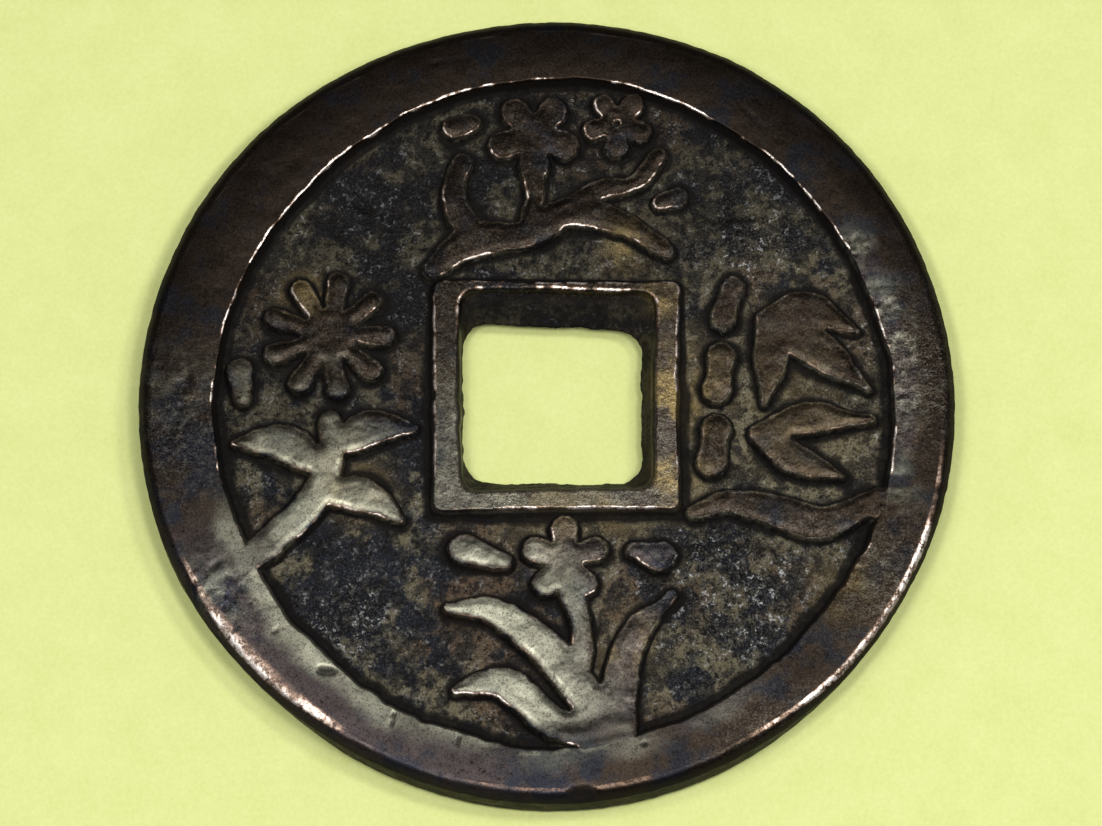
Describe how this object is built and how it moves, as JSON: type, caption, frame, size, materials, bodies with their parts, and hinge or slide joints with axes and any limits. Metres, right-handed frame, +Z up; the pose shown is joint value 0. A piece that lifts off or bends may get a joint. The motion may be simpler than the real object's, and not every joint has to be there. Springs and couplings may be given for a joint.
{
  "type": "cash coin",
  "caption": "Round cast bronze cash coin with a square hole, raised outer and inner rims and low plant sprigs in relief, for stringing on a cord.",
  "frame": {"origin": "on the table, under the centre of the coin's outline", "axes": "+Z up out of the obverse face, +Y towards the top of the obverse"},
  "size_m": [0.024, 0.024, 0.0016],
  "materials": {
    "field_bronze": "dark uneven patina with casting grain",
    "rim_bronze": "worn smooth, dark brown, edges rubbed bright",
    "relief_bronze": "worn smooth tops, dark feet"
  },
  "bodies": {
    "root": {"flan": "field_bronze", "obverse_outer_rim": "rim_bronze", "obverse_inner_rim": "rim_bronze", "reverse_outer_rim": "rim_bronze", "reverse_inner_rim": "rim_bronze", "plum_branch": "relief_bronze", "plum_blossom": "relief_bronze", "plum_bud_left": "relief_bronze", "plum_bud_right": "relief_bronze", "bamboo_stalk_lower": "relief_bronze", "bamboo_stalk_middle": "relief_bronze", "bamboo_stalk_upper": "relief_bronze", "bamboo_leaves_upper": "relief_bronze", "bamboo_leaves_lower": "relief_bronze", "bamboo_ground": "relief_bronze", "orchid_leaves": "relief_bronze", "orchid_petal_left": "relief_bronze", "orchid_bud": "relief_bronze", "chrysanthemum_flower": "relief_bronze", "chrysanthemum_stem": "relief_bronze", "chrysanthemum_bud": "relief_bronze"}
  },
  "joints": []
}
